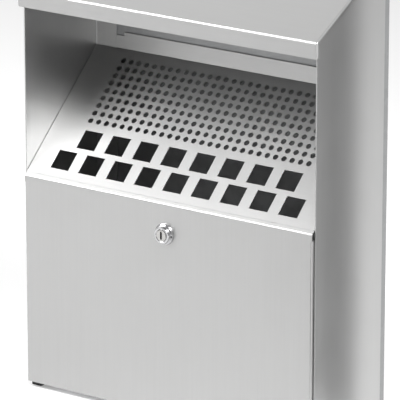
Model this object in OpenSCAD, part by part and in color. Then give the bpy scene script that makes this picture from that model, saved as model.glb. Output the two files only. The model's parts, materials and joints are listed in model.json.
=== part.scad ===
// Wall ashtray bin: a folded sheet housing with a sloping hood, a drop-down front
// that carries the perforated stub plate, a cam lock, a piano hinge and a lift-out liner.
// Millimetres. X across, Y to the wall, Z up, with the origin on the ground under the middle.

/* [Housing] */
// Outer width across the side walls
body_w = 358; // [300:1:420]
// Depth of the side walls
side_d = 124.4; // [105:0.2:150]
// Thickness of the housing and front sheet
sheet = 1.2; // [0.8:0.1:1.5]
// Width of the inward flange at the rear of each side wall
rear_flange_w = 26; // [20:1:40]
// Depth of the rear pan that stands the housing off the wall
pan_d = 8.2; // [6:0.2:12]

/* [Hood] */
// Height of the hood lip's lower edge above the ground
hood_z = 411; // [380:1:480]
// Height of the front lip of the hood
lip_h = 16.8; // [12:0.2:30]
// Slope of the hood from horizontal
roof_slope = 26.8; // [15:0.2:35]
// Overhang of the hood past each side wall
roof_over_side = 3.5; // [2:0.5:8]
// Overhang of the hood past the front edges of the side walls
roof_over_front = 5.8; // [5:0.2:12]
// Width of the turned-down edge along each side of the hood
roof_edge = 5; // [3:0.5:10]

/* [Front] */
// Height of the fold between the front panel and the stub plate
fold_z = 231.5; // [200:0.5:260]
// Distance that the front panel stands proud of the side walls
front_proud = 4.4; // [2:0.2:8]
// Gap between the front and each side wall
front_gap = 0.5; // [0.4:0.1:1.5]
// Depth of the side returns of the front panel
return_d = 16; // [10:1:17]
// Length of the sloping flange that the stub plate is welded to
fold_flange = 5; // [3:0.5:8]

/* [Stub plate] */
// Slope of the stub plate from horizontal
plate_slope = 41.5; // [35:0.5:45]
// Number of perforation columns
perf_cols = 28; // [10:1:30]
// Number of perforation rows
perf_rows = 9; // [3:1:9]
// Perforation pitch across
perf_pitch_x = 10; // [8:0.1:11]
// Perforation pitch up the slope
perf_pitch_s = 9.65; // [8:0.05:10]
// Perforation diameter
perf_dia = 6; // [3:0.1:7]
// Distance from the fold to the first perforation row
perf_start = 77.9; // [72:0.1:80]
// Side of the square stub holes
stub_hole = 22.5; // [16:0.5:26]
// Stub hole pitch across
stub_pitch = 35.25; // [30:0.05:36]
// Distance between the two rows of stub holes
stub_row_pitch = 28.4; // [27:0.1:30]
// Distance from the fold to the middle of the lower row
stub_start = 26.1; // [20:0.1:30]
// Number of stub holes in the lower row, one more than in the upper row
stub_count = 9; // [3:1:9]
// Height of the upturned flange behind the stub plate
upstand_h = 17.5; // [10:0.5:25]
// Width and depth of the notch at each end of the upturned flange
notch = [10, 4];

/* [Lock] */
// Distance from the fold down to the lock
lock_drop = 31.5; // [25:0.5:40]
// Diameter of the threaded lock barrel
barrel_dia = 16; // [14:0.5:19]
// Diameter of the lock collar on the panel
collar_dia = 23; // [21:0.5:28]
// Diameter of the lock's front face
lock_face_dia = 18; // [16:0.5:20]
// Diameter of the turning plug
plug_dia = 12; // [9:0.5:13]
// Height of the lock head above the panel
head_h = 6.5; // [4:0.5:9]
// Length of the cam from the plug's axis to its tip
cam_len = 34; // [30:1:40]
// Width of the cam
cam_w = 16; // [12:1:20]

/* [Latch rail] */
// Distance from the lock axis down to the top edge of the rail
rail_drop = 22; // [20:1:26]
// Height of the rail's web
rail_web_h = 23; // [18:1:30]
// Height of the rail's front lip
rail_lip_h = 15; // [10:1:20]
// Diameter of the rubber door buffers
buffer_dia = 10; // [6:1:14]

/* [Hinge] */
// Outer diameter of the hinge knuckles
knuckle_dia = 5; // [4:0.5:7]
// Diameter of the hinge pin
hinge_pin_dia = 2.4; // [2:0.1:3]
// Length of the hinge
hinge_w = 300; // [200:5:320]
// Number of knuckles, odd
knuckles = 7; // [5:2:11]
// Thickness of the hinge leaves
leaf_t = 1; // [0.8:0.1:1]

/* [Liner] */
// Gap between the liner's rim and each side wall
liner_side_gap = 5.8; // [5:0.2:12]
// Width of the liner's rim at the two ends
rim_end_w = 8; // [7:0.5:10]
// Width of the liner's rim at the front and back
rim_long_w = 6; // [5:0.5:8]
// Height of the liner
liner_h = 170; // [120:1:180]
// Thickness of the liner sheet
liner_t = 1; // [0.8:0.1:1.2]
// Diameter of the bail wire
bail_dia = 4; // [3:0.5:5]

/* [Feet and fixings] */
// Height of the feet
foot_h = 7; // [6:0.5:15]
// Side of the square feet
foot_w = 13; // [12:0.5:20]
// Diameter of the rivets
rivet_dia = 4; // [3:0.2:5]
// Diameter of the wall fixing holes
wall_hole_dia = 6.5; // [5:0.5:9]
// Distance between the wall fixing holes across
wall_pitch_x = 280; // [200:5:290]
// Distance between the wall fixing holes up the wall
wall_pitch_z = 330; // [250:5:340]
// Height of the lower wall fixing holes above the ground
wall_hole_z = 100; // [60:5:120]

/* [Hidden] */
$fn = 64;

gap = 0.4;              // clearance between pieces that move past each other
fit = 0.05;             // radial clearance of a pin in its hole
rest_gap = 0.3;         // clearance under a piece that rests on another body
eps = 0.01;             // overlap of a cutting tool past a face

half_w = body_w / 2;
inner_w = half_w - sheet;
plug_proud = 0.3;
front_reach = max(roof_over_front, front_proud + head_h + plug_proud);
total_d = front_reach + side_d + pan_d;
y_side = front_reach - total_d / 2;
y_lip = y_side - roof_over_front;
y_rear = y_side + side_d;
y_wall = total_d / 2;
y_back = y_rear - sheet;
y_face = y_side - front_proud;
y_door = y_face + sheet;

lip_top = hood_z + lip_h;
roof_half = half_w + roof_over_side;
function roof_top(y) = lip_top + (y - y_lip) * tan(roof_slope);
function roof_under(y) = roof_top(y) - sheet / cos(roof_slope);
pan_top = roof_under(y_rear);

front_half = inner_w - front_gap;
door_bottom = foot_h - leaf_t;
plate_drop = sheet / cos(plate_slope);
function plate_top(y) = fold_z + (y - y_face) * tan(plate_slope);
function plate_under(y) = plate_top(y) - plate_drop;
y_plate_end = y_back - gap;
plate_len = (y_plate_end - sheet * sin(plate_slope) - y_face) / cos(plate_slope);
y_upstand = y_rear - 0.5 - sheet;
upstand_half = inner_w - rear_flange_w - front_gap;
upstand_top = plate_top(y_upstand) + upstand_h;

lock_z = fold_z - lock_drop;
washer_t = 1;
nut_t = 5;
nut_af = 22;
collar_h = 3;
rail_clear = 2.8;       // from the front panel's returns to the rail
rail_end_d = 18;
rail_shelf_d = 11;
rail_inset = 3;
y_rail = y_face + return_d + rail_clear;
cam_t = 2;
y_cam = y_rail + sheet + 0.8;
y_cam_rear = y_cam + cam_t;
plug_square = 8;
cam_screw_dia = 5;
cam_screw_head = 9.5;
keyway = [2.2, 12, 8.8];
rail_top = lock_z - rail_drop;
rail_bottom = rail_top - rail_web_h;
y_rail_lip = y_rail - rail_shelf_d;

knuckle_r = knuckle_dia / 2;
y_hinge = y_door + knuckle_r;
z_hinge = door_bottom + knuckle_r;
knuckle_l = hinge_w / knuckles;
leaf_clear = knuckle_r + 0.7;
body_leaf_w = 24;       // from the hinge axis to the body leaf's edge
body_leaf_end = y_hinge + body_leaf_w;
door_leaf_w = 22;       // from the hinge axis to the door leaf's edge
door_leaf_top = z_hinge + door_leaf_w;
y_floor = y_hinge + leaf_clear;

floor_top = foot_h + sheet;
floor_flange = 12;
foot_x = inner_w - foot_w / 2 - 0.2;
foot_y_front = y_floor + foot_w / 2;
foot_y_rear = y_back - 1 - foot_w / 2;
foot_screw_dia = 4;
foot_screw_head = 8;
foot_screw_inset = 1.2; // from the ground to the screw's head
foot_screw_head_h = 2.3;
foot_counterbore = foot_screw_inset + foot_screw_head_h;

rivet_head_h = 1.1;
rivet_tail_h = 1.2;
rivet_x = inner_w - rear_flange_w / 2;
rivet_zs = [40, 160, 280, 400];
hinge_rivet_xs = [for (i = [-1.5 : 1 : 1.5]) i * hinge_w / 4];
hinge_rivet_y = (y_floor + body_leaf_end) / 2 + 2;

stud_x = inner_w - 9;
stud_ys = [y_side + side_d / 5, y_rear - side_d / 5];
stud_dia = 4;
stud_len = 11;
stud_nut_af = 7;
stud_nut_h = 3.2;
stud_nut_gap = 0.1;     // between the flange and the nut
top_flange_w = 16;

liner_bottom = floor_top + rest_gap;
liner_top = liner_bottom + liner_h;
rim_half = inner_w - liner_side_gap;
liner_half = rim_half - rim_end_w;
y_rim_front = y_cam_rear + 7.2;
y_rim_rear = y_back - 2.3;
y_liner_front = y_rim_front + rim_long_w;
y_liner_rear = y_rim_rear - rim_long_w;
y_liner_mid = (y_rim_front + y_rim_rear) / 2;
bail_r = bail_dia / 2;
bail_z = liner_top + bail_r + rest_gap;
bail_x = (rim_half + liner_half) / 2;
bail_reach = y_liner_mid - (y_rim_front + rim_long_w / 2);
bail_bend = 6;
ear_t = 1.5;
ear_w = 18;
ear_drop = 22;
ear_x = liner_half - liner_t - ear_t;
ear_rivet_dia = 3;

// Extrudes a profile drawn in Y and Z across the width w, centred on x.
module across(w, x = 0) {
    translate([x - w / 2, 0, 0]) rotate([90, 0, 90]) linear_extrude(w) children();
}

// A cuboid between two corners.
module block(low, high) {
    translate(low) cube(high - low);
}

// A cylinder along Y from y0 to y1.
module rod_y(x, z, y0, y1, r) {
    translate([x, y0, z]) rotate([-90, 0, 0]) cylinder(h = y1 - y0, r = r);
}

// A cylinder along X from x0 to x1.
module rod_x(y, z, x0, x1, r) {
    translate([x0, y, z]) rotate([0, 90, 0]) cylinder(h = x1 - x0, r = r);
}

// A hexagonal nut standing on z = 0, with a round hole.
module hex_nut(af, h, hole_r) {
    difference() {
        cylinder(h = h, d = af / cos(30), $fn = 6);
        translate([0, 0, -eps]) cylinder(h = h + 2 * eps, r = hole_r);
    }
}

// Copies its children onto both sides of the middle.
module both_sides() {
    children();
    mirror([1, 0, 0]) children();
}

// Places its children square to the hood at a point of its top face.
module on_roof(x, y) {
    translate([x, y, roof_top(y)]) rotate([roof_slope, 0, 0]) children();
}

// Places its children at the fold, with Y up the stub plate and Z out of it.
module on_plate() {
    translate([0, y_face, fold_z]) rotate([plate_slope, 0, 0]) children();
}

module side_wall() {
    difference() {
        union() {
            across(sheet, inner_w + sheet / 2)
                polygon([[y_side, foot_h], [y_rear, foot_h], [y_rear, roof_under(y_rear)],
                    [y_side, roof_under(y_side)]]);
            across(rear_flange_w, inner_w - rear_flange_w / 2)
                polygon([[y_back, foot_h], [y_rear, foot_h], [y_rear, roof_under(y_rear)],
                    [y_back, roof_under(y_back)]]);
            across(top_flange_w, inner_w - top_flange_w / 2)
                polygon([[y_side, roof_under(y_side)], [y_side, roof_under(y_side) - sheet],
                    [y_rear, roof_under(y_rear) - sheet], [y_rear, roof_under(y_rear)]]);
        }
        for (z = rivet_zs) rod_y(rivet_x, z, y_back - 1, y_rear + 1, rivet_dia / 2 + fit);
        for (y = stud_ys) on_roof(stud_x, y)
            translate([0, 0, -10]) cylinder(h = 20, r = stud_dia / 2 + 0.2);
    }
}

module left_side() {
    color("silver") mirror([1, 0, 0]) side_wall();
}

module right_side() {
    color("silver") side_wall();
}

module wall_points() {
    for (x = [-1, 1], z = [0, 1])
        translate([x * wall_pitch_x / 2, 0, wall_hole_z + z * wall_pitch_z]) children();
}

module back_pan() {
    color("darkgray") difference() {
        block([-inner_w, y_rear, foot_h], [inner_w, y_wall, pan_top]);
        block([-inner_w + sheet, y_rear + sheet, foot_h + sheet],
            [inner_w - sheet, y_wall + 1, pan_top - sheet]);
        wall_points() rod_y(0, 0, y_rear - 1, y_wall + 1, wall_hole_dia / 2);
        for (s = [-1, 1], z = rivet_zs)
            rod_y(s * rivet_x, z, y_rear - 1, y_wall + 1, rivet_dia / 2 + fit);
    }
}

module floor_panel() {
    color("silver") difference() {
        union() {
            block([-inner_w, y_floor, foot_h], [inner_w, y_back, floor_top]);
            both_sides() block([inner_w - sheet, y_face + return_d + gap, foot_h],
                [inner_w, y_back, floor_top + floor_flange]);
            block([-inner_w, y_back - sheet, foot_h],
                [inner_w, y_back, floor_top + floor_flange]);
        }
        foot_points() cylinder(h = foot_h + 20, r = foot_screw_dia / 2 + fit);
        for (x = hinge_rivet_xs) translate([x, hinge_rivet_y, 0])
            cylinder(h = foot_h + 20, r = rivet_dia / 2 + fit);
    }
}

module roof_cap() {
    color("gainsboro") union() {
        across(2 * roof_half)
            polygon([[y_lip, hood_z], [y_lip, lip_top], [y_wall, roof_top(y_wall)],
                [y_wall, roof_under(y_wall)], [y_lip + sheet, roof_under(y_lip + sheet)],
                [y_lip + sheet, hood_z]]);
        both_sides() across(sheet, roof_half - sheet / 2)
            polygon([[y_lip, hood_z], [y_lip, lip_top], [y_wall, roof_top(y_wall)],
                [y_wall, roof_top(y_wall) - roof_edge],
                [y_lip + roof_edge, roof_top(y_lip + roof_edge) - roof_edge],
                [y_lip + roof_edge, hood_z]]);
        both_sides() for (y = stud_ys) on_roof(stud_x, y)
            translate([0, 0, -stud_len])
            cylinder(h = stud_len - sheet / 2, r = stud_dia / 2);
    }
}

module roof_nuts() {
    color("gray") both_sides() for (y = stud_ys) on_roof(stud_x, y)
        translate([0, 0, -2 * sheet - stud_nut_gap - stud_nut_h])
            hex_nut(stud_nut_af, stud_nut_h, stud_dia / 2 + fit);
}

module latch_rail() {
    color("silver") union() {
        block([-inner_w, y_rail, rail_bottom], [inner_w, y_rail + sheet, rail_top]);
        both_sides() block([inner_w - sheet, y_rail, rail_bottom],
            [inner_w, y_rail + rail_end_d, rail_top]);
        block([-front_half + rail_inset, y_rail_lip, rail_bottom],
            [front_half - rail_inset, y_rail + sheet, rail_bottom + sheet]);
        block([-front_half + rail_inset, y_rail_lip, rail_bottom - rail_lip_h],
            [front_half - rail_inset, y_rail_lip + sheet, rail_bottom + sheet]);
    }
}

module door_buffers() {
    color("black") both_sides() rod_y(front_half - 25, rail_bottom - rail_lip_h / 2,
        y_door + rest_gap, y_rail_lip, buffer_dia / 2);
}

// A set blind rivet along +Z with its joint face at z = 0 and the sheets' thickness below it.
module rivet(d, grip) {
    translate([0, 0, -grip]) cylinder(h = grip, r = d / 2);
    cylinder(h = rivet_head_h, r1 = d * 0.95, r2 = d * 0.6);
    translate([0, 0, -grip - rivet_tail_h]) cylinder(h = rivet_tail_h, r1 = d * 0.5, r2 = d * 0.7);
}

module back_rivets() {
    color("gray") for (s = [-1, 1], z = rivet_zs)
        translate([s * rivet_x, y_back, z]) rotate([90, 0, 0]) rivet(rivet_dia, 2 * sheet);
}

module wall_spacers() {
    color("black") wall_points() difference() {
        rod_y(0, 0, y_rear + sheet, y_wall, wall_hole_dia / 2 + 4);
        rod_y(0, 0, y_rear, y_wall + 1, wall_hole_dia / 2);
    }
}

module foot_points() {
    for (x = [-1, 1], y = [foot_y_front, foot_y_rear]) translate([x * foot_x, y, 0]) children();
}

// A square pad with rounded upright edges.
module pad(w, h, r) {
    inner = w / 2 - r;
    block([-w / 2, -inner, 0], [w / 2, inner, h]);
    block([-inner, -w / 2, 0], [inner, w / 2, h]);
    for (x = [-1, 1], y = [-1, 1]) translate([x * inner, y * inner, 0]) cylinder(h = h, r = r);
}

module feet() {
    color("black") foot_points() difference() {
        pad(foot_w, foot_h, 2);
        translate([0, 0, -1]) cylinder(h = foot_h + 2, r = foot_screw_dia / 2 + fit);
        translate([0, 0, -1])
            cylinder(h = foot_counterbore + 1, r = foot_screw_head / 2 + 0.5);
    }
}

module foot_screws() {
    color("gray") foot_points() {
        translate([0, 0, foot_screw_inset])
            cylinder(h = foot_screw_head_h, r = foot_screw_head / 2);
        translate([0, 0, foot_counterbore - 0.5])
            cylinder(h = foot_h + 3, r = foot_screw_dia / 2);
    }
}

// Knuckles of one leaf: first is 0 for the body's and 1 for the door's.
module knuckle_row(first) {
    for (i = [first : 2 : knuckles - 1])
        rod_x(y_hinge, z_hinge, -hinge_w / 2 + i * knuckle_l + gap / 2,
            -hinge_w / 2 + (i + 1) * knuckle_l - gap / 2, knuckle_r);
}

module hinge_bore() {
    rod_x(y_hinge, z_hinge, -hinge_w, hinge_w, hinge_pin_dia / 2 + fit);
}

module hinge_leaf_body() {
    color("gray") difference() {
        union() {
            knuckle_row(0);
            for (i = [0 : 2 : knuckles - 1])
                block([-hinge_w / 2 + i * knuckle_l + gap / 2, y_hinge, door_bottom],
                    [-hinge_w / 2 + (i + 1) * knuckle_l - gap / 2, y_floor + 1,
                    door_bottom + leaf_t]);
            block([-hinge_w / 2 + gap / 2, y_floor, door_bottom],
                [hinge_w / 2 - gap / 2, body_leaf_end, door_bottom + leaf_t]);
        }
        hinge_bore();
        for (x = hinge_rivet_xs) translate([x, hinge_rivet_y, 0])
            cylinder(h = foot_h + 20, r = rivet_dia / 2 + fit);
    }
}

module hinge_leaf_door() {
    color("gray") difference() {
        union() {
            knuckle_row(1);
            for (i = [1 : 2 : knuckles - 1])
                block([-hinge_w / 2 + i * knuckle_l + gap / 2, y_door, z_hinge],
                    [-hinge_w / 2 + (i + 1) * knuckle_l - gap / 2, y_door + leaf_t,
                    z_hinge + leaf_clear + 1]);
            block([-hinge_w / 2 + gap / 2, y_door, z_hinge + leaf_clear],
                [hinge_w / 2 - gap / 2, y_door + leaf_t, door_leaf_top]);
        }
        hinge_bore();
    }
}

module hinge_pin() {
    color("gray") rod_x(y_hinge, z_hinge, -hinge_w / 2, hinge_w / 2, hinge_pin_dia / 2);
}

module hinge_rivets() {
    color("gray") for (x = hinge_rivet_xs)
        translate([x, hinge_rivet_y, floor_top]) rivet(rivet_dia, sheet + leaf_t);
}

module front_panel() {
    run = fold_flange * cos(plate_slope);
    rise = fold_flange * sin(plate_slope);
    color("silver") difference() {
        union() {
            across(2 * front_half)
                polygon([[y_face, door_bottom], [y_face, fold_z], [y_face + run, fold_z + rise],
                    [y_face + run + sheet * sin(plate_slope),
                    fold_z + rise - sheet * cos(plate_slope)],
                    [y_door, plate_under(y_door)], [y_door, door_bottom]]);
            both_sides() block([front_half - sheet, y_face, floor_top + gap],
                [front_half, y_face + return_d, plate_under(y_door) - 2]);
        }
        rod_y(0, lock_z, y_face - 1, y_door + 1, barrel_dia / 2 + fit);
    }
}

module stub_plate() {
    color("lightgray") union() {
        on_plate() translate([0, 0, -sheet]) linear_extrude(sheet) difference() {
            translate([-front_half, fold_flange])
                square([2 * front_half, plate_len - fold_flange]);
            for (i = [0 : perf_cols - 1], j = [0 : perf_rows - 1])
                translate([(i - (perf_cols - 1) / 2) * perf_pitch_x,
                    perf_start + j * perf_pitch_s]) circle(d = perf_dia, $fn = 32);
            for (row = [0, 1], i = [0 : stub_count - 1 - row])
                translate([(i - (stub_count - 1 - row) / 2) * stub_pitch,
                    stub_start + row * stub_row_pitch]) square(stub_hole, center = true);
        }
        y_join = y_upstand - 3;
        difference() {
            across(2 * upstand_half)
                polygon([[y_join, plate_top(y_join)], [y_upstand, plate_top(y_upstand)],
                    [y_upstand, upstand_top], [y_upstand + sheet, upstand_top],
                    [y_upstand + sheet, plate_under(y_upstand + sheet)],
                    [y_join, plate_under(y_join)]]);
            both_sides() block([upstand_half - notch[0], y_upstand - 1, upstand_top - notch[1]],
                [upstand_half + 1, y_upstand + sheet + 1, upstand_top + 1]);
        }
    }
}

// Places its children at the lock, with Z out of the panel's face.
module at_lock() {
    translate([0, y_face, lock_z]) rotate([90, 0, 0]) children();
}

module lock_collar() {
    color("white") difference() {
        at_lock() cylinder(h = collar_h, d1 = collar_dia, d2 = collar_dia - 1.6);
        rod_y(0, lock_z, y_face - 10, y_face + 1, barrel_dia / 2 + fit);
    }
}

module lock_body() {
    color("white") difference() {
        union() {
            at_lock() translate([0, 0, collar_h])
                cylinder(h = head_h - collar_h, d1 = lock_face_dia + 2, d2 = lock_face_dia);
            rod_y(0, lock_z, y_face - collar_h - eps, y_cam - gap, barrel_dia / 2);
        }
        rod_y(0, lock_z, y_face - head_h - 1, y_cam, plug_dia / 2 + fit);
    }
}

module lock_washer() {
    color("gray") difference() {
        rod_y(0, lock_z, y_door, y_door + washer_t, nut_af / 2 + 1.5);
        rod_y(0, lock_z, y_door - 1, y_door + washer_t + 1, barrel_dia / 2 + fit);
    }
}

module lock_nut() {
    color("gray") translate([0, y_door + washer_t, lock_z]) rotate([-90, 0, 0])
        hex_nut(nut_af, nut_t, barrel_dia / 2 + fit);
}

module lock_plug() {
    color("lightgray") difference() {
        union() {
            rod_y(0, lock_z, y_face - head_h - plug_proud, y_cam, plug_dia / 2);
            block([-plug_square / 2, y_cam - 1, lock_z - plug_square / 2],
                [plug_square / 2, y_cam_rear, lock_z + plug_square / 2]);
        }
        block([-keyway[0] / 2, y_face - head_h - 1, lock_z - keyway[2] / 2],
            [keyway[0] / 2, y_face - head_h + keyway[1], lock_z + keyway[2] / 2]);
        rod_y(0, lock_z, y_cam_rear - 8, y_cam_rear + 1, cam_screw_dia / 2 + fit);
    }
}

module lock_cam() {
    hole = plug_square / 2 + fit;
    color("gray") difference() {
        union() {
            rod_y(0, lock_z, y_cam, y_cam_rear, cam_w / 2);
            rod_y(cam_len - cam_w / 2, lock_z, y_cam, y_cam_rear, cam_w / 2);
            block([0, y_cam, lock_z - cam_w / 2],
                [cam_len - cam_w / 2, y_cam_rear, lock_z + cam_w / 2]);
        }
        block([-hole, y_cam - 1, lock_z - hole], [hole, y_cam_rear + 1, lock_z + hole]);
    }
}

module cam_screw() {
    color("gray") union() {
        rod_y(0, lock_z, y_cam_rear - 7, y_cam_rear + 1, cam_screw_dia / 2);
        rod_y(0, lock_z, y_cam_rear, y_cam_rear + 2.8, cam_screw_head / 2);
    }
}

module liner() {
    color("darkgray") difference() {
        union() {
            block([-liner_half, y_liner_front, liner_bottom],
                [liner_half, y_liner_rear, liner_top]);
            block([-rim_half, y_rim_front, liner_top - liner_t],
                [rim_half, y_rim_rear, liner_top]);
        }
        block([-liner_half + liner_t, y_liner_front + liner_t, liner_bottom + liner_t],
            [liner_half - liner_t, y_liner_rear - liner_t, liner_top + 1]);
        ear_rivet_points() rod_x(0, 0, -rim_end_w, rim_end_w, ear_rivet_dia / 2 + fit);
    }
}

module ear_rivet_points() {
    for (s = [-1, 1], y = [-1, 1])
        translate([s * liner_half, y_liner_mid + y * ear_w / 4, liner_top - ear_drop / 2 - 3])
            children();
}

module liner_ears() {
    color("gray") difference() {
        both_sides() union() {
            block([ear_x, y_liner_mid - ear_w / 2, liner_top - ear_drop],
                [ear_x + ear_t, y_liner_mid + ear_w / 2, liner_top - 1]);
            rod_x(y_liner_mid, bail_z, ear_x, ear_x + ear_t, bail_r + 4);
            block([ear_x, y_liner_mid - bail_r - 4, liner_top - 1.5],
                [ear_x + ear_t, y_liner_mid + bail_r + 4, bail_z]);
        }
        rod_x(y_liner_mid, bail_z, -rim_half, rim_half, bail_r + fit);
        ear_rivet_points() rod_x(0, 0, -rim_end_w, rim_end_w, ear_rivet_dia / 2 + fit);
    }
}

module ear_rivets() {
    grip = liner_t + ear_t;
    color("gray") ear_rivet_points() rotate([0, 90, 0]) union() {
        translate([0, 0, -grip - 1]) cylinder(h = 2 * grip + 2, r = ear_rivet_dia / 2);
    }
}

module bail() {
    y_bar = y_liner_mid - bail_reach;
    color("gray") union() {
        rod_x(y_bar, bail_z, -bail_x + bail_bend, bail_x - bail_bend, bail_r);
        both_sides() {
            translate([bail_x - bail_bend, y_bar + bail_bend, bail_z]) rotate([0, 0, -90])
                rotate_extrude(angle = 90) translate([bail_bend, 0]) circle(r = bail_r);
            rod_y(bail_x, bail_z, y_bar + bail_bend, y_liner_mid, bail_r);
            translate([bail_x, y_liner_mid, bail_z]) sphere(r = bail_r);
            rod_x(y_liner_mid, bail_z, ear_x - 2.5, bail_x, bail_r);
        }
    }
}

left_side();
right_side();
back_pan();
floor_panel();
roof_cap();
roof_nuts();
latch_rail();
door_buffers();
back_rivets();
wall_spacers();
feet();
foot_screws();
hinge_leaf_body();
hinge_pin();
hinge_rivets();
hinge_leaf_door();
front_panel();
stub_plate();
lock_collar();
lock_body();
lock_washer();
lock_nut();
lock_plug();
lock_cam();
cam_screw();
liner();
liner_ears();
ear_rivets();
bail();
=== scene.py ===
"""Finishes for the wall ashtray bin: folded sheet, lock, liner, rubber parts, light and camera."""

import json
import math

import bmesh
import bpy
from bpy.props import FloatProperty, FloatVectorProperty, IntProperty
from mathutils import Euler, Matrix, Vector


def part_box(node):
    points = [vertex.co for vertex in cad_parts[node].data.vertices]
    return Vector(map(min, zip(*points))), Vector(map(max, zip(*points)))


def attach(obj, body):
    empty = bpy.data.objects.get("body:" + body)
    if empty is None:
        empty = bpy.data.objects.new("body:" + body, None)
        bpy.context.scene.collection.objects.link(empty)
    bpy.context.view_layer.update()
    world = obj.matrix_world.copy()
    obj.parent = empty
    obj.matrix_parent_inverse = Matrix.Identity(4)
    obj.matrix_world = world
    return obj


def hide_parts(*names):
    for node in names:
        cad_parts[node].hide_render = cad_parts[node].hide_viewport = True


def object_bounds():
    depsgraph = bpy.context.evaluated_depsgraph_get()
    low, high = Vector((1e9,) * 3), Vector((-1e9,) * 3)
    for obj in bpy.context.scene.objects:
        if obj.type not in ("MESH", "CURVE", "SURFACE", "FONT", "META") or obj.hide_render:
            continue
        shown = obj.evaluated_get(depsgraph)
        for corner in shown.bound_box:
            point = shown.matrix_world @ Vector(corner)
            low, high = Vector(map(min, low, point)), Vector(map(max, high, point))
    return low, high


bl_info = {
    "name": "Ashtray bin finishes",
    "version": (1, 0, 0),
    "blender": (4, 5, 0),
    "location": "View3D > Sidebar > Ashtray bin",
    "description": "Adds the folded sheet, lock, liner and finishes of a wall ashtray bin",
    "category": "Object",
}

MM = 0.001
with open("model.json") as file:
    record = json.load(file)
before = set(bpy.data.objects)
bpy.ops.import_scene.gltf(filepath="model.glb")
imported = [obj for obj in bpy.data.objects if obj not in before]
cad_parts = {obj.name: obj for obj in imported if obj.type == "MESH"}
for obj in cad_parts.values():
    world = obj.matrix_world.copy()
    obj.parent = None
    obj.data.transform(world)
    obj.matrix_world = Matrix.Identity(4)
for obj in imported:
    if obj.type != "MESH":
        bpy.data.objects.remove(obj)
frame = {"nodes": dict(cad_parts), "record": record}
CAD_LOW, CAD_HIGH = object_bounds()
BODY_OF = {
    node: body
    for body, nodes in frame["record"]["behaviour"]["bodies"].items()
    for node in nodes
}
SLOT_OF = {row["node"]: row["material_slot"] for row in frame["record"]["subparts"]}


def slope_of(node):
    """Rise per metre of Y of the node's largest sloping surface, by area."""
    areas = {}
    for face in frame["nodes"][node].data.polygons:
        n = face.normal
        if abs(n.x) < 0.01 and n.z > 0.3 and abs(n.y) > 0.2:
            key = round(-n.y / n.z, 3)
            areas[key] = areas.get(key, 0.0) + face.area
    if not areas:
        raise RuntimeError(node + " has no sloping face")
    return max(areas, key=areas.get)


# Sizes that the boxes of the CAD pieces don't give.
HOOD_SLOPE = slope_of("roof_cap")
PLATE_RISE = slope_of("stub_plate")
FOLD_Z = 231.5 * MM
FOLD_FLANGE = 5 * MM
FOLD_STRIP = 7 * MM  # from the fold down to where the flat of the front starts
RETURN_LIFT = 2.6 * MM  # from the front's lower edge to the foot of its returns
TOP_FLANGE = 16 * MM
ROOF_EDGE = 5 * MM
STUD_LENGTH = 11 * MM
STUD_RADIUS = 2 * MM
RIVET_HOLE = 2.05 * MM
BARREL_RADIUS = 8 * MM
BARREL_HOLE = 8.05 * MM
PLUG_RADIUS = 6 * MM
PLUG_BORE = 6.05 * MM
PLUG_SQUARE = 8 * MM
SCREW_HOLE = 2.55 * MM
SCREW_DEPTH = 8 * MM
LOCK_FACE_RADIUS = 9 * MM
KEYWAY_HALF_WIDTH = 1.1 * MM
KEYWAY_HALF_HEIGHT = 4.4 * MM
KEYWAY_DEPTH = 12 * MM
LINER_SHEET = 1 * MM
END_RIM = 8 * MM
LONG_RIM = 6 * MM


# ---------------------------------------------------------------- settings


class SheetSettings(bpy.types.PropertyGroup):
    """Sizes of the folded sheet."""

    thickness: FloatProperty(
        name="Sheet", description="Sheet thickness", default=1.2 * MM, unit="LENGTH"
    )
    fold_radius: FloatProperty(
        name="Fold radius", description="Outer radius of the front fold", default=3.2 * MM,
        unit="LENGTH",
    )
    edge_radius: FloatProperty(
        name="Edge radius", description="Outer radius of the side folds", default=2.2 * MM,
        unit="LENGTH",
    )
    front_radius: FloatProperty(
        name="Front radius", description="Outer radius of the folds into the front's returns",
        default=1.6 * MM, unit="LENGTH",
    )
    break_edge: FloatProperty(
        name="Edge break", description="Width that deburring takes off a cut edge",
        default=0.22 * MM, unit="LENGTH",
    )
    arc_steps: IntProperty(
        name="Fold steps", description="Faces round each fold", default=8, min=2, max=24
    )


class FinishSettings(bpy.types.PropertyGroup):
    """Colours of the finishes."""

    steel: FloatVectorProperty(
        name="Steel", description="Brushed steel", subtype="COLOR", default=(0.57, 0.57, 0.567)
    )
    zinc: FloatVectorProperty(
        name="Zinc", description="Plated fixings", subtype="COLOR", default=(0.55, 0.55, 0.57)
    )
    galvanised: FloatVectorProperty(
        name="Galvanised", description="Galvanised sheet", subtype="COLOR",
        default=(0.40, 0.405, 0.41),
    )
    chrome: FloatVectorProperty(
        name="Chrome", description="Lock head", subtype="COLOR", default=(0.62, 0.62, 0.63)
    )
    nickel: FloatVectorProperty(
        name="Nickel", description="Lock plug", subtype="COLOR", default=(0.58, 0.575, 0.56)
    )
    rubber: FloatVectorProperty(
        name="Rubber", description="Feet and buffers", subtype="COLOR",
        default=(0.016, 0.016, 0.017),
    )


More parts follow.
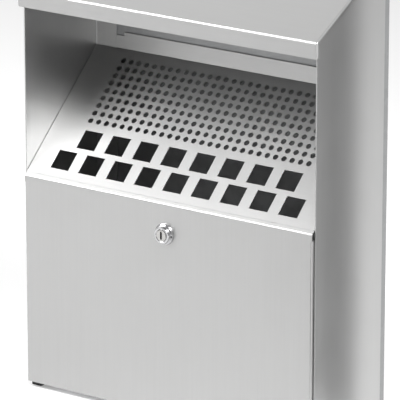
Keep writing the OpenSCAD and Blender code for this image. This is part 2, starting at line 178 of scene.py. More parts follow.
class StageSettings(bpy.types.PropertyGroup):
    """Camera and light."""

    lens: FloatProperty(name="Lens", description="Focal length in mm", default=351.0)
    yaw: FloatProperty(
        name="Yaw", description="Camera's turn to the left", default=math.radians(34.85),
        subtype="ANGLE",
    )
    pitch: FloatProperty(
        name="Pitch", description="Camera's tilt down", default=math.radians(17.35),
        subtype="ANGLE",
    )
    place: FloatVectorProperty(
        name="Place", description="Camera's place", default=(2.173, -3.1236, 1.4082),
        subtype="TRANSLATION",
    )
    key_power: FloatProperty(name="Key", description="Power of the key light", default=4.0)
    top_power: FloatProperty(name="Top", description="Power of the top light", default=4.5)
    plate_power: FloatProperty(
        name="Plate", description="Power of the light over the stub plate", default=28.0
    )
    fill_power: FloatProperty(name="Fill", description="Power of the fill light", default=38.0)
    sky: FloatProperty(name="Sky", description="Strength of the white room", default=0.35)
    glow: FloatProperty(
        name="Floor glow", description="Light given off by the lit floor", default=0.22
    )


def settings(name):
    """One group of settings on the scene."""
    return getattr(bpy.context.scene, "ashbin_" + name)


# ---------------------------------------------------------------- materials


class Socket:
    """A shader output with arithmetic: each operator adds its Math node."""

    def __init__(self, shader, output):
        self.shader = shader
        self.output = output

    def _math(self, operation, a, b):
        return self.shader.node(
            "ShaderNodeMath", {"operation": operation}, {0: a, 1: b}, "Value"
        )

    def __add__(self, other):
        return self._math("ADD", self, other)

    __radd__ = __add__

    def __sub__(self, other):
        return self._math("SUBTRACT", self, other)

    def __rsub__(self, other):
        return self._math("SUBTRACT", other, self)

    def __mul__(self, other):
        return self._math("MULTIPLY", self, other)

    __rmul__ = __mul__


class Shader:
    """A material under construction."""

    def __init__(self, name):
        self.material = bpy.data.materials.new(name)
        self.material.use_nodes = True
        self.tree = self.material.node_tree
        self.surface = self.tree.nodes["Principled BSDF"]

    def node(self, kind, options, inputs, output):
        """Adds a node, sets its options, then its sockets' values or links."""
        made = self.tree.nodes.new(kind)
        for key, value in options.items():
            setattr(made, key, value)
        for key, value in inputs.items():
            if isinstance(value, Socket):
                self.tree.links.new(value.output, made.inputs[key])
            else:
                made.inputs[key].default_value = value
        return Socket(self, made.outputs[output])

    def place(self, scale):
        """Object coordinates, stretched by scale along each axis."""
        where = self.node("ShaderNodeTexCoord", {}, {}, "Object")
        return self.node("ShaderNodeMapping", {}, {"Vector": where, "Scale": scale}, "Vector")

    def noise(self, scale, detail=2.0, roughness=0.5):
        """Noise from 0 to 1 whose grain is 1 / scale metres along each axis."""
        return self.node(
            "ShaderNodeTexNoise", {},
            {"Vector": self.place(scale), "Scale": 1.0, "Detail": detail, "Roughness": roughness},
            "Fac",
        )

    def ramp(self, value, low, high):
        """Stretches low..high of a value to 0..1 and clamps it."""
        return self.node(
            "ShaderNodeMapRange", {"clamp": True},
            {"Value": value, "From Min": low, "From Max": high}, "Result",
        )

    def blend(self, factor, first, second):
        """Mixes two colours."""
        return self.node(
            "ShaderNodeMix", {"data_type": "RGBA"},
            {0: factor, 6: (*first, 1.0), 7: (*second, 1.0)}, 2,
        )

    def bump(self, height, strength, distance):
        """A normal bumped by a height."""
        return self.node(
            "ShaderNodeBump", {},
            {"Height": height, "Strength": strength, "Distance": distance}, "Normal",
        )

    def finish(self, constants, links):
        """Sets the surface's own sockets and links what varies."""
        for key, value in constants.items():
            self.surface.inputs[key].default_value = value
        for key, value in links.items():
            self.tree.links.new(value.output, self.surface.inputs[key])
        return self.material


def shade(colour, amount):
    """A colour made lighter or darker."""
    return tuple(min(1.0, max(0.0, part * amount)) for part in colour)


def brushed_steel(name, grain):
    """Satin steel with a fine brushed grain along one axis, faint clouding and wipe marks."""
    shader = Shader(name)
    base = tuple(settings("finish").steel)
    fine = [2600.0, 2600.0, 2600.0]
    coarse = [420.0, 420.0, 420.0]
    fine["xyz".index(grain)] = 14.0
    coarse["xyz".index(grain)] = 5.0
    lines = shader.noise(fine, 3.0, 0.6)
    bands = shader.noise(coarse, 2.0, 0.5)
    clouds = shader.noise((9.0, 9.0, 7.0), 4.0, 0.55)
    wipes = shader.noise((38.0, 38.0, 24.0), 3.0, 0.6)
    tone = shader.ramp(lines * 0.45 + bands * 0.25 + clouds * 0.30, 0.36, 0.64)
    colour = shader.blend(tone, shade(base, 0.975), shade(base, 1.025))
    rough = 0.37 + lines * 0.05 + bands * 0.04 + shader.ramp(wipes, 0.45, 0.75) * 0.035
    height = lines * 0.7 + bands * 0.3
    return shader.finish(
        {"Metallic": 1.0},
        {"Base Color": colour, "Roughness": rough, "Normal": shader.bump(height, 0.12, 0.00008)},
    )


def galvanised_sheet():
    """Zinc-coated sheet with soft crystal spangles."""
    shader = Shader("galvanised_sheet")
    base = tuple(settings("finish").galvanised)
    cells = shader.node(
        "ShaderNodeTexVoronoi", {"feature": "F1"},
        {"Vector": shader.place((130.0, 130.0, 130.0)), "Scale": 1.0, "Randomness": 1.0}, "Color",
    )
    spangle = shader.node("ShaderNodeSeparateColor", {}, {"Color": cells}, "Red")
    clouds = shader.noise((12.0, 12.0, 12.0), 4.0, 0.6)
    tone = shader.ramp(spangle * 0.6 + clouds * 0.4, 0.15, 0.85)
    colour = shader.blend(tone, shade(base, 0.90), shade(base, 1.08))
    return shader.finish(
        {"Metallic": 0.85},
        {"Base Color": colour, "Roughness": 0.42 + spangle * 0.14,
         "Normal": shader.bump(spangle, 0.05, 0.0001)},
    )


def plated_steel():
    """Bright zinc on small turned and pressed fixings."""
    shader = Shader("zinc_plate")
    base = tuple(settings("finish").zinc)
    clouds = shader.noise((160.0, 160.0, 160.0), 3.0, 0.6)
    grain = shader.noise((1500.0, 1500.0, 1500.0), 2.0, 0.5)
    colour = shader.blend(shader.ramp(clouds, 0.3, 0.7), shade(base, 0.88), shade(base, 1.1))
    return shader.finish(
        {"Metallic": 1.0},
        {"Base Color": colour, "Roughness": 0.28 + clouds * 0.14,
         "Normal": shader.bump(grain, 0.06, 0.00005)},
    )


def polished_lock(name, key, roughness):
    """Chrome or nickel on the lock, with fine turning marks."""
    shader = Shader(name)
    base = tuple(getattr(settings("finish"), key))
    haze = shader.noise((420.0, 420.0, 420.0), 3.0, 0.6)
    turned = shader.noise((2200.0, 2200.0, 2200.0), 2.0, 0.5)
    colour = shader.blend(shader.ramp(haze, 0.35, 0.7), shade(base, 0.94), shade(base, 1.03))
    return shader.finish(
        {"Metallic": 1.0},
        {"Base Color": colour, "Roughness": roughness + haze * 0.07,
         "Normal": shader.bump(turned, 0.03, 0.00004)},
    )


def black_rubber():
    """Matt moulded rubber with a slight bloom."""
    shader = Shader("black_rubber")
    base = tuple(settings("finish").rubber)
    bloom = shader.noise((220.0, 220.0, 220.0), 4.0, 0.6)
    pores = shader.noise((2400.0, 2400.0, 2400.0), 2.0, 0.5)
    colour = shader.blend(shader.ramp(bloom, 0.4, 0.8), base, shade(base, 1.9))
    return shader.finish(
        {"Metallic": 0.0},
        {"Base Color": colour, "Roughness": 0.62 + bloom * 0.18,
         "Normal": shader.bump(pores, 0.15, 0.00008)},
    )


def paper_floor():
    """The pale studio floor, with a trace of unevenness."""
    shader = Shader("studio_floor")
    clouds = shader.noise((0.9, 0.9, 0.9), 2.0, 0.5)
    colour = shader.blend(clouds, (0.90, 0.90, 0.90), (0.93, 0.93, 0.93))
    return shader.finish(
        {"Emission Color": (1.0, 1.0, 1.0, 1.0), "Emission Strength": settings("stage").glow},
        {"Base Color": colour, "Roughness": 0.85 + clouds * 0.05},
    )


def grey_card():
    """Plain matt card."""
    shader = Shader("grey_card")
    clouds = shader.noise((3.0, 3.0, 3.0), 2.0, 0.5)
    colour = shader.blend(clouds, (0.70, 0.70, 0.70), (0.74, 0.74, 0.74))
    return shader.finish({}, {"Base Color": colour, "Roughness": 0.9 + clouds * 0.05})


FINISH = {}


def make_finishes():
    """Makes every material once, after the settings exist."""
    FINISH["upright"] = brushed_steel("brushed_steel_upright", "z")
    FINISH["across"] = brushed_steel("brushed_steel_across", "x")
    FINISH["galvanised_sheet"] = galvanised_sheet()
    FINISH["zinc_steel"] = plated_steel()
    FINISH["chrome_lock"] = polished_lock("chrome_lock", "chrome", 0.16)
    FINISH["nickel_plug"] = polished_lock("nickel_plug", "nickel", 0.20)
    FINISH["black_rubber"] = black_rubber()
    FINISH["brushed_steel"] = FINISH["upright"]
    FINISH["grey_card"] = grey_card()


# ---------------------------------------------------------------- mesh work


def new_piece(name, builder, node, finish=None, sharp=32.0):
    """Makes an object from a bmesh, in the place and on the body of the CAD node it stands for."""
    mesh = bpy.data.meshes.new(name)
    bmesh.ops.remove_doubles(builder, verts=builder.verts, dist=1e-6)
    bmesh.ops.recalc_face_normals(builder, faces=builder.faces)
    builder.to_mesh(mesh)
    builder.free()
    mesh.shade_smooth()
    mesh.set_sharp_from_angle(angle=math.radians(sharp))
    mesh.materials.append(FINISH[finish or SLOT_OF[node]])
    piece = bpy.data.objects.new(name, mesh)
    bpy.context.scene.collection.objects.link(piece)
    level_normals(piece)
    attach(piece, BODY_OF[node])
    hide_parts(node)
    return piece


def level_normals(piece):
    """Keeps flat faces flat where they run into folds and broken edges."""
    modifier = piece.modifiers.new("level_normals", "WEIGHTED_NORMAL")
    modifier.keep_sharp = True
    modifier.weight = 100


def break_edges(builder, width, segments=2, limit=50.0, skip=None):
    """Bevels every edge where two faces meet at more than the limit, but none at height skip."""
    builder.normal_update()
    sharp = [
        edge for edge in builder.edges
        if len(edge.link_faces) == 2 and edge.calc_face_angle(0.0) > math.radians(limit)
        and not (skip is not None and all(abs(v.co.z - skip) < 1e-5 for v in edge.verts))
    ]
    bmesh.ops.bevel(
        builder, geom=sharp, offset=width, segments=segments, profile=0.5,
        affect="EDGES", clamp_overlap=True,
    )


def turned(a, b, c):
    """The signed turn in radians of the path a, b, c, positive to the left."""
    first, second = b - a, c - b
    return math.atan2(first.x * second.y - first.y * second.x, first.dot(second))


def rounded_path(points, radii, steps):
    """An open path with an arc of its own radius at each inner corner."""
    path = [points[0]]
    for i in range(1, len(points) - 1):
        a, b, c = points[i - 1], points[i], points[i + 1]
        turn = turned(a, b, c)
        reach = radii[i - 1] * math.tan(abs(turn) / 2)
        start = b + (a - b).normalized() * reach
        side = 1 if turn > 0 else -1
        normal = Vector((-(b - a).y, (b - a).x)).normalized() * side
        centre = start + normal * radii[i - 1]
        spoke = start - centre
        for k in range(steps + 1):
            angle = turn * k / steps
            path.append(centre + Matrix.Rotation(angle, 2) @ spoke)
    path.append(points[-1])
    return path


def sheet_outline(points, thickness, radius, steps):
    """Closed outline of a folded sheet: points run along its outer face, metal on the left."""
    points = [Vector(p) for p in points]
    inner, outer_radii, inner_radii = [], [], []
    for i, point in enumerate(points):
        before = (point - points[i - 1]).normalized() if i else None
        after = (points[i + 1] - point).normalized() if i < len(points) - 1 else None
        ways = [w for w in (before, after) if w is not None]
        normals = [Vector((-w.y, w.x)) for w in ways]
        mitre = sum(normals, Vector((0, 0))).normalized()
        inner.append(point + mitre * thickness / mitre.dot(normals[0]))
        if before is not None and after is not None:
            left = turned(points[i - 1], point, points[i + 1]) > 0
            outer_radii.append(radius if left else radius - thickness)
            inner_radii.append(radius - thickness if left else radius)
    outer = rounded_path(points, outer_radii, steps)
    return outer + rounded_path(inner, inner_radii, steps)[::-1]


def add_prism(builder, outline, place, low, high):
    """Sweeps a 2D outline between low(p) and high(p); place puts (p, height) in space."""
    bottom = [builder.verts.new(place(p, low(p))) for p in outline]
    top = [builder.verts.new(place(p, high(p))) for p in outline]
    count = len(outline)
    for i in range(count):
        j = (i + 1) % count
        builder.faces.new((bottom[i], bottom[j], top[j], top[i]))
    builder.faces.new(bottom[::-1])
    builder.faces.new(top)


def level(height):
    """An end of a prism that is flat at one height."""
    return lambda point: height


def along_x(point, height):
    """Puts a Y, Z outline at an X."""
    return Vector((height, point[0], point[1]))


def along_z(point, height):
    """Puts an X, Y outline at a Z."""
    return Vector((point[0], point[1], height))


def soft_copy(node, width, segments=2):
    """The CAD node's shape with its flat faces joined and its edges broken."""
    source = frame["nodes"][node]
    builder = bmesh.new()
    builder.from_mesh(source.data)
    bmesh.ops.remove_doubles(builder, verts=builder.verts, dist=1e-6)
    bmesh.ops.dissolve_limit(
        builder, angle_limit=math.radians(1.0), verts=builder.verts, edges=builder.edges
    )
    break_edges(builder, width, segments)
    return new_piece(node + "_finished", builder, node, sharp=25.0)


def dress(node, finish=None):
    """Gives a CAD node its finish through its own material slots."""
    slots = frame["nodes"][node].material_slots
    for slot in slots:
        slot.material = FINISH[finish or SLOT_OF[node]]


def island_boxes(node):
    """The box of each separate solid in a CAD node."""
    builder = bmesh.new()
    builder.from_mesh(frame["nodes"][node].data)
    bmesh.ops.remove_doubles(builder, verts=builder.verts, dist=1e-6)
    waiting, boxes = set(builder.verts), []
    while waiting:
        seed = min(waiting, key=lambda v: v.index)
        group, front = {seed}, [seed]
        while front:
            for item in front.pop().link_edges:
                for vert in item.verts:
                    if vert not in group:
                        group.add(vert)
                        front.append(vert)
        waiting -= group
        boxes.append(tuple(
            Vector(pick(v.co[i] for v in group) for i in range(3)) for pick in (min, max)
        ))
    builder.free()
    return boxes


def lathe(profile, centre, steps=96):
    """A surface turned about the Y axis through centre, from (radius, y) points."""
    builder = bmesh.new()
    rings = []
    for radius, y in profile:
        if radius < 1e-7:
            rings.append([builder.verts.new((centre[0], y, centre[1]))])
            continue
        ring = []
        for k in range(steps):
            angle = 2 * math.pi * k / steps
            ring.append(builder.verts.new((
                centre[0] + radius * math.cos(angle), y, centre[1] + radius * math.sin(angle)
            )))
        rings.append(ring)
    for first, second in zip(rings, rings[1:]):
        for k in range(steps):
            m = (k + 1) % steps
            corners = [first[k % len(first)], first[m % len(first)],
                       second[m % len(second)], second[k % len(second)]]
            unique = list(dict.fromkeys(corners))
            if len(unique) > 2:
                builder.faces.new(unique)
    return builder


def cut(piece, cutter, operation="DIFFERENCE"):
    """Cuts one object's shape out of another, or joins the two, and keeps the result."""
    piece.modifiers.clear()
    modifier = piece.modifiers.new("cut", "BOOLEAN")
    modifier.operation = operation
    modifier.solver = "EXACT"
    modifier.object = cutter
    evaluated = piece.evaluated_get(bpy.context.evaluated_depsgraph_get())
    mesh = bpy.data.meshes.new_from_object(evaluated)
    piece.modifiers.clear()
    piece.data = mesh
    level_normals(piece)
    bpy.data.objects.remove(cutter)


def tool_object(builder):
    """A temporary cutting tool."""
    mesh = bpy.data.meshes.new("tool")
    bmesh.ops.recalc_face_normals(builder, faces=builder.faces)
    builder.to_mesh(mesh)
    builder.free()
    tool = bpy.data.objects.new("tool", mesh)
    bpy.context.scene.collection.objects.link(tool)
    bpy.context.view_layer.update()
    return tool


def drill_y(x, z, front, rear, radius):
    """A drill of that radius along Y, from front to rear."""
    return tool_object(lathe([(0, front), (radius, front), (radius, rear), (0, rear)],
                             (x, z), 48))


# ---------------------------------------------------------------- pieces


class Piece:
    """Shared parts of the operators."""

    bl_options = {"REGISTER", "UNDO"}

    def execute(self, context):
        self.build(context)
        return {"FINISHED"}


class ASHBIN_OT_sides(Piece, bpy.types.Operator):
    """Folds each side wall round into its rear flange, with a flange under the hood"""

    bl_idname = "ashbin.sides"
    bl_label = "Side walls"

    def build(self, context):
        sheet = settings("sheet")
        t = sheet.thickness
        for node, side in (("left_side", -1), ("right_side", 1)):
            low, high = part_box(node)
            outer, flange = (high.x, low.x) if side > 0 else (low.x, high.x)
            start = high.z - HOOD_SLOPE * high.y
            path = [(outer, low.y), (outer, high.y), (flange, high.y)]
            outline = sheet_outline(path[::side], t, sheet.edge_radius, sheet.arc_steps)
            builder = bmesh.new()
            add_prism(builder, outline, along_z, level(low.z),
                      lambda p, start=start: start + HOOD_SLOPE * p[1])
            break_edges(builder, sheet.break_edge)
            inner = outer - side * t
            reach = inner - side * TOP_FLANGE
            ends = sorted((inner, reach))
            rear = high.y - t
            top = [(low.y, start + HOOD_SLOPE * low.y), (rear, start + HOOD_SLOPE * rear)]
            strip = top + [(y, z - t) for y, z in top[::-1]]
            add_prism(builder, strip, along_x, level(ends[0]), level(ends[1]))
            piece = new_piece(node + "_sheet", builder, node, "upright")
            for spot in island_boxes("back_rivets"):
                if (spot[0].x + spot[1].x) * side > 0:
                    middle = (spot[0] + spot[1]) / 2
                    cut(piece, drill_y(middle.x, middle.z, high.y - 0.004, high.y + 0.002,
                                       RIVET_HOLE))


class ASHBIN_OT_hood(Piece, bpy.types.Operator):
    """Presses the hood as one cap with a front lip and turned-down edges"""

    bl_idname = "ashbin.hood"
    bl_label = "Hood"

    def build(self, context):
        sheet = settings("sheet")
        low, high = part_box("roof_cap")
        edge = ROOF_EDGE
        slope = HOOD_SLOPE
        lip_top = high.z - slope * (high.y - low.y)
        rear_low = high.z - edge
        corner = Vector((low.y + edge, lip_top + slope * edge - edge))
        outline = [
            Vector((low.y, low.z)), Vector((low.y, lip_top)), Vector((high.y, high.z)),
            Vector((high.y, rear_low)), corner, Vector((low.y + edge, low.z)),
        ]
        builder = bmesh.new()
        add_prism(builder, outline[::-1], along_x, level(low.x), level(high.x))
        builder.normal_update()
        folds, lips = [], []
        for item in builder.edges:
            a, b = (v.co for v in item.verts)
            middle = (a + b) / 2
            along = abs(a.x - b.x) > 1e-5
            if along and middle.y < low.y + MM and middle.z > low.z + MM:
                folds.append(item)
            if not along and middle.z > lip_top + MM and abs(a.y - b.y) > 20 * MM:
                if abs(middle.z - (high.z + lip_top) / 2) < MM:
                    folds.append(item)
            if not along and middle.y < low.y + MM:
                folds.append(item)
            if not along and middle.z < low.z + MM:
                lips.append(item)
        bmesh.ops.bevel(builder, geom=folds + lips, offset=sheet.edge_radius, segments=6,
                        profile=0.5, affect="EDGES", clamp_overlap=True)
        builder.normal_update()
        open_faces = []
        for face in builder.faces:
            middle = face.calc_center_median()
            if face.normal.z < -0.5 and abs(middle.x) < high.x - 4 * MM:
                open_faces.append(face)
            elif face.normal.y > 0.9:
                open_faces.append(face)
        bmesh.ops.delete(builder, geom=open_faces, context="FACES")
        bmesh.ops.recalc_face_normals(builder, faces=builder.faces)
        top = max(builder.faces, key=lambda f: f.calc_area())
        if top.normal.z < 0:
            bmesh.ops.reverse_faces(builder, faces=builder.faces)
        bmesh.ops.solidify(builder, geom=builder.faces[:], thickness=sheet.thickness)
        for vert in builder.verts:
            past = vert.co.y - high.y
            if past > 0:
                vert.co -= Vector((0, past, slope * past))
        tilt = Matrix.Rotation(math.atan(slope), 4, "X")
        start = lip_top - slope * low.y
        for spot in island_boxes("roof_nuts"):
            middle = (spot[0] + spot[1]) / 2
            normal = tilt @ Vector((0, 0, 1))
            depth = (start + slope * middle.y - middle.z) * normal.z
            foot = middle + normal * (depth - STUD_LENGTH)
            length = STUD_LENGTH - sheet.thickness / 2
            bmesh.ops.create_cone(
                builder, cap_ends=True, segments=32, radius1=STUD_RADIUS, radius2=STUD_RADIUS,
                depth=length,
                matrix=Matrix.Translation(foot + normal * length / 2) @ tilt,
            )
        new_piece("hood_cap", builder, "roof_cap", "across", 25.0)


class ASHBIN_OT_front(Piece, bpy.types.Operator):
    """Folds the front: returns at the sides and a round fold into the stub plate"""

    bl_idname = "ashbin.front"
    bl_label = "Front panel"

    def build(self, context):
        sheet = settings("sheet")
        low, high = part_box("front_panel")
        t = sheet.thickness
        join_z = FOLD_Z - FOLD_STRIP
        run = FOLD_FLANGE * math.cos(math.atan(PLATE_RISE))
        bent = bmesh.new()
        fold = sheet_outline(
            [(low.y + run, FOLD_Z + run * PLATE_RISE), (low.y, FOLD_Z), (low.y, join_z)],
            t, sheet.fold_radius, sheet.arc_steps,
        )
        add_prism(bent, fold, along_x, level(low.x), level(high.x))
        break_edges(bent, sheet.break_edge, skip=join_z)
        depth = high.y
        pan = sheet_outline(
            [(low.x, depth), (low.x, low.y), (high.x, low.y), (high.x, depth)],
            t, sheet.front_radius, sheet.arc_steps,
        )
        builder = bmesh.new()
        add_prism(builder, pan, along_z, level(low.z), level(join_z))
        break_edges(builder, sheet.break_edge, skip=join_z)
        piece = new_piece("front_skin", builder, "front_panel", "upright", 25.0)
        cut(piece, tool_object(bent), "UNION")
        lock_low, lock_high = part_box("lock_body")
        lock_z = (lock_low.z + lock_high.z) / 2
        cut(piece, drill_y(0.0, lock_z, low.y - 2 * MM, low.y + 4 * MM, BARREL_HOLE))
        foot = bmesh.new()
        near, far = low.y + sheet.edge_radius, depth + 5 * MM
        under, above = low.z - 5 * MM, low.z + RETURN_LIFT
        add_prism(foot, [(near, under), (far, under), (far, above), (near, above)],
                  along_x, level(low.x - 10 * MM), level(high.x + 10 * MM))
        cut(piece, tool_object(foot))


class ASHBIN_OT_plate(Piece, bpy.types.Operator):
    """Finishes the perforated stub plate"""

    bl_idname = "ashbin.plate"
    bl_label = "Stub plate"

    def build(self, context):
        dress("stub_plate", "across")


class ASHBIN_OT_lock(Piece, bpy.types.Operator):
    """Turns the lock's collar, head and plug, and cuts the keyway"""

    bl_idname = "ashbin.lock"
    bl_label = "Lock"

    def build(self, context):
        low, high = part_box("lock_collar")
        centre = ((low.x + high.x) / 2, (low.z + high.z) / 2)
        radius = (high.x - low.x) / 2
        hole = BARREL_HOLE
        front, back = low.y, high.y
        collar = lathe([
            (hole, back), (radius, back), (radius, back - 0.7 * MM),
            (radius - 0.25 * MM, back - 1.1 * MM), (radius - 0.8 * MM, front + 0.35 * MM),
            (radius - 1.3 * MM, front), (hole, front), (hole, back),
        ], centre)
        new_piece("lock_collar_ring", collar, "lock_collar")
        body_low, body_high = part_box("lock_body")
        face = body_low.y
        barrel, bore, rim = BARREL_RADIUS, PLUG_BORE, LOCK_FACE_RADIUS
        head = lathe([
            (bore, body_high.y), (barrel - 0.5 * MM, body_high.y),
            (barrel, body_high.y - 0.5 * MM), (barrel, front), (rim + 0.95 * MM, front),
            (rim + 0.9 * MM, front - 0.5 * MM), (rim + 0.35 * MM, front - 0.8 * MM),
            (rim + 0.3 * MM, front - 1.2 * MM), (rim + 0.5 * MM, front - 1.5 * MM),
            (rim + 0.1 * MM, face + 0.7 * MM), (rim - 0.3 * MM, face + 0.15 * MM),
            (rim - 0.9 * MM, face), (bore + 0.9 * MM, face), (bore + 0.5 * MM, face + 0.25 * MM),
            (bore, face + 0.6 * MM), (bore, body_high.y),
        ], centre)
        new_piece("lock_head", head, "lock_body")
        plug_low, plug_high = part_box("lock_plug")
        plug = PLUG_RADIUS
        nose = plug_low.y
        tail = plug_high.y
        cam_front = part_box("lock_cam")[0].y
        core = lathe([
            (0, cam_front), (plug, cam_front), (plug, nose + 0.5 * MM),
            (plug - 0.15 * MM, nose + 0.15 * MM), (plug - 0.5 * MM, nose), (0, nose),
        ], centre)
        piece = new_piece("lock_core", core, "lock_plug")
        square = bmesh.new()
        half = PLUG_SQUARE / 2
        add_prism(square, [(-half, -half), (half, -half), (half, half), (-half, half)],
                  lambda p, h: Vector((centre[0] + p[0], h, centre[1] + p[1])),
                  level(cam_front - MM), level(tail))
        cut(piece, tool_object(square), "UNION")
        cut(piece, drill_y(centre[0], centre[1], tail - SCREW_DEPTH, tail + MM,
                           SCREW_HOLE))
        slot = bmesh.new()
        wide, tall, deep = KEYWAY_HALF_WIDTH, KEYWAY_HALF_HEIGHT, KEYWAY_DEPTH
        outline = [(-wide, -0.7 * tall), (-0.4 * wide, -tall), (0.4 * wide, -tall),
                   (wide, -0.7 * tall), (wide, 0.7 * tall), (0.4 * wide, tall),
                   (-0.4 * wide, tall), (-wide, 0.7 * tall)]
        add_prism(slot, outline, lambda p, h: Vector((centre[0] + p[0], h, centre[1] + p[1])),
                  level(nose - MM), level(nose + deep))
        cut(piece, tool_object(slot))


class ASHBIN_OT_liner(Piece, bpy.types.Operator):
    """Draws the liner with round corners and a rolled rim"""

    bl_idname = "ashbin.liner"
    bl_label = "Liner"

    def build(self, context):
        low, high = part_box("liner")
        t = LINER_SHEET
        half = high.x
        wall = half - END_RIM
        front, rear = low.y + LONG_RIM, high.y - LONG_RIM
        rows = [
            (half, low.y, high.y, 4 * MM, high.z - t),
            (half, low.y, high.y, 4 * MM, high.z - 0.3 * MM),
            (half - 0.3 * MM, low.y + 0.3 * MM, high.y - 0.3 * MM, 4 * MM, high.z),
            (wall - t + 1.5 * MM, front + t - 1.5 * MM, rear - t + 1.5 * MM, 11 * MM, high.z),
            (wall - t, front + t, rear - t, 10 * MM, high.z - 1.5 * MM),
            (wall - t, front + t, rear - t, 10 * MM, low.z + t + 5 * MM),
            (wall - t - 1.5 * MM, front + t + 1.5 * MM, rear - t - 1.5 * MM, 8.5 * MM,
             low.z + t + 1.5 * MM),
            (wall - t - 5 * MM, front + t + 5 * MM, rear - t - 5 * MM, 5 * MM, low.z + t),
        ]
        below = [
            (wall - 5 * MM, front + 5 * MM, rear - 5 * MM, 6 * MM, low.z),
            (wall - 1.5 * MM, front + 1.5 * MM, rear - 1.5 * MM, 9.5 * MM, low.z + 1.5 * MM),
            (wall, front, rear, 11 * MM, low.z + 5 * MM),
            (wall, front, rear, 11 * MM, high.z - 2.5 * MM),
            (wall + 1.0 * MM, front - 1.0 * MM, rear + 1.0 * MM, 11 * MM, high.z - t),
        ]
        builder = bmesh.new()
        loops = [[builder.verts.new(p) for p in rounded_box(*row)] for row in rows + below]
        for first, second in zip(loops, loops[1:] + loops[:1]):
            if first is loops[len(rows) - 1]:
                continue
            for k in range(len(first)):
                m = (k + 1) % len(first)
                builder.faces.new((first[k], first[m], second[m], second[k]))
        builder.faces.new(loops[len(rows) - 1])
        builder.faces.new(loops[len(rows)])
        new_piece("liner_shell", builder, "liner", None, 25.0)
        soft_copy("liner_ears", 0.3 * MM)
        soft_copy("bail", 0.1 * MM)
        soft_copy("ear_rivets", 0.4 * MM)


def rounded_box(half, front, rear, radius, height):
    """The points of a rectangle with round corners, at one height."""
    points = []
    steps = 6
    corners = [(half - radius, rear - radius, 0), (-half + radius, rear - radius, 90),
               (-half + radius, front + radius, 180), (half - radius, front + radius, 270)]
    for x, y, start in corners:
        for k in range(steps + 1):
            angle = math.radians(start + 90 * k / steps)
            points.append(Vector((x + radius * math.cos(angle), y + radius * math.sin(angle),
                                  height)))
    return points


class ASHBIN_OT_fixings(Piece, bpy.types.Operator):
    """Breaks the edges of the rails, pans, hinge, feet and fixings"""

    bl_idname = "ashbin.fixings"
    bl_label = "Frame and fixings"

    def build(self, context):
        for node in ("back_pan", "floor_panel", "latch_rail"):
            soft_copy(node, 0.35 * MM)
        for node in ("hinge_leaf_body", "hinge_leaf_door", "lock_nut", "roof_nuts", "lock_cam",
                     "lock_washer"):
            soft_copy(node, 0.2 * MM)
        for node in ("back_rivets", "hinge_rivets", "cam_screw", "foot_screws", "hinge_pin"):
            soft_copy(node, 0.15 * MM)
        for node in ("door_buffers", "wall_spacers"):
            soft_copy(node, 0.6 * MM)
        soft_copy("feet", 1.1 * MM, segments=4)


# ---------------------------------------------------------------- stage


def add_area(name, place, aim, size, power, colour=(1.0, 1.0, 1.0)):
    """A soft rectangular light aimed at a point."""
    data = bpy.data.lights.new(name, "AREA")
    data.shape = "RECTANGLE"
    data.size, data.size_y = size
    data.energy = power
    data.color = colour
    lamp = bpy.data.objects.new(name, data)
    lamp.location = place
    lamp.rotation_mode = "QUATERNION"
    lamp.rotation_quaternion = (Vector(aim) - Vector(place)).to_track_quat("-Z", "Y")
    bpy.context.scene.collection.objects.link(lamp)


CARDS = {
    # Dark card beside the right wall, which shades that wall towards its front edge.
    "side_card": (
        "black_rubber",
        ((0.21, 0.05, 0.0), (0.28, 0.05, 0.0), (0.28, 0.05, 0.62), (0.21, 0.05, 0.62)),
    ),
    # Dark card on the floor in front, which shades the front towards its right edge.
    "front_card": (
        "black_rubber",
        ((0.32, -0.12, 0.01), (-0.33, -1.05, 0.01), (0.0, -1.25, 0.01), (0.6, -0.3, 0.01)),
    ),
    # Grey card that takes the glare of the floor out of the front.
    "floor_card": (
        "grey_card",
        ((-2.2, -2.6, 0.001), (0.8, -2.6, 0.001), (0.8, -0.06, 0.001), (-2.2, -0.06, 0.001)),
    ),
}


def add_card(name, finish, corners):
    """A card in the given finish that shows only as a reflection."""
    builder = bmesh.new()
    builder.faces.new([builder.verts.new(corner) for corner in corners])
    mesh = bpy.data.meshes.new(name)
    builder.to_mesh(mesh)
    builder.free()
    mesh.materials.append(FINISH[finish])
    card = bpy.data.objects.new(name, mesh)
    card.visible_camera = False
    card.visible_diffuse = False
    card.visible_shadow = False
    bpy.context.scene.collection.objects.link(card)


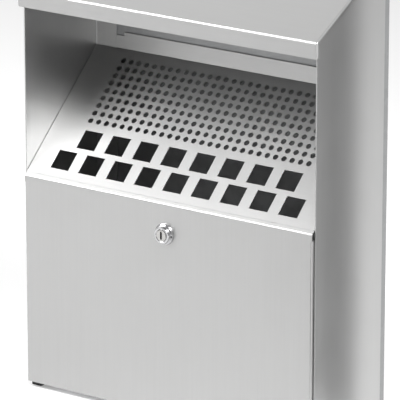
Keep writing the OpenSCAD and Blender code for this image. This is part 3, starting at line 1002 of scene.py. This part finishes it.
class ASHBIN_OT_stage(Piece, bpy.types.Operator):
    """Adds the floor, the white room, the lights and the camera"""

    bl_idname = "ashbin.stage"
    bl_label = "Stage"

    def build(self, context):
        stage = settings("stage")
        scene = context.scene
        builder = bmesh.new()
        bmesh.ops.create_grid(builder, x_segments=1, y_segments=1, size=12.0)
        mesh = bpy.data.meshes.new("floor")
        builder.to_mesh(mesh)
        builder.free()
        mesh.materials.append(paper_floor())
        floor = bpy.data.objects.new("floor", mesh)
        scene.collection.objects.link(floor)
        world = bpy.data.worlds.new("white_room")
        world.use_nodes = True
        sky = world.node_tree.nodes["Background"]
        sky.inputs["Color"].default_value = (1.0, 1.0, 1.0, 1.0)
        sky.inputs["Strength"].default_value = stage.sky
        scene.world = world
        middle = (CAD_LOW + CAD_HIGH) / 2
        add_area("key", (-1.3, -2.0, 1.5), middle, (1.2, 1.2), stage.key_power)
        add_area("top", (-1.1, 0.8, 1.95), middle, (1.4, 1.4), stage.top_power)
        add_area("plate", (-1.15, -1.15, 1.42), middle, (1.0, 1.0), stage.plate_power)
        add_area("fill", (1.2, -0.75, 1.7), middle, (0.7, 0.7), stage.fill_power)
        for name, (finish, spots) in CARDS.items():
            add_card(name, finish, spots)
        data = bpy.data.cameras.new("camera")
        data.lens = stage.lens
        data.sensor_width = 36.0
        data.clip_end = 60.0
        camera = bpy.data.objects.new("camera", data)
        camera.location = stage.place
        camera.rotation_euler = Euler((math.pi / 2 - stage.pitch, 0.0, stage.yaw))
        scene.collection.objects.link(camera)
        scene.camera = camera
        scene.view_settings.view_transform = "Standard"


class ASHBIN_PT_panel(bpy.types.Panel):
    """Lists the pieces and their settings"""

    bl_idname = "ASHBIN_PT_panel"
    bl_label = "Ashtray bin"
    bl_space_type = "VIEW_3D"
    bl_region_type = "UI"
    bl_category = "Ashtray bin"

    def draw(self, context):
        for operator in OPERATORS:
            self.layout.operator(operator.bl_idname)
        for name in GROUPS:
            group = settings(name)
            for key in group.bl_rna.properties.keys():
                if key not in ("rna_type", "name"):
                    self.layout.prop(group, key)


GROUPS = {"sheet": SheetSettings, "finish": FinishSettings, "stage": StageSettings}
OPERATORS = (
    ASHBIN_OT_stage, ASHBIN_OT_sides, ASHBIN_OT_hood, ASHBIN_OT_front, ASHBIN_OT_plate,
    ASHBIN_OT_lock, ASHBIN_OT_liner, ASHBIN_OT_fixings,
)


def register():
    for name, group in GROUPS.items():
        bpy.utils.register_class(group)
        setattr(bpy.types.Scene, "ashbin_" + name, bpy.props.PointerProperty(type=group))
    for operator in OPERATORS:
        bpy.utils.register_class(operator)
    bpy.utils.register_class(ASHBIN_PT_panel)


def unregister():
    bpy.utils.unregister_class(ASHBIN_PT_panel)
    for operator in reversed(OPERATORS):
        bpy.utils.unregister_class(operator)
    for name, group in GROUPS.items():
        delattr(bpy.types.Scene, "ashbin_" + name)
        bpy.utils.unregister_class(group)


def main():
    register()
    make_finishes()
    for operator in OPERATORS:
        group, name = operator.bl_idname.split(".")
        getattr(getattr(bpy.ops, group), name)()


if __name__ == "__main__":
    main()
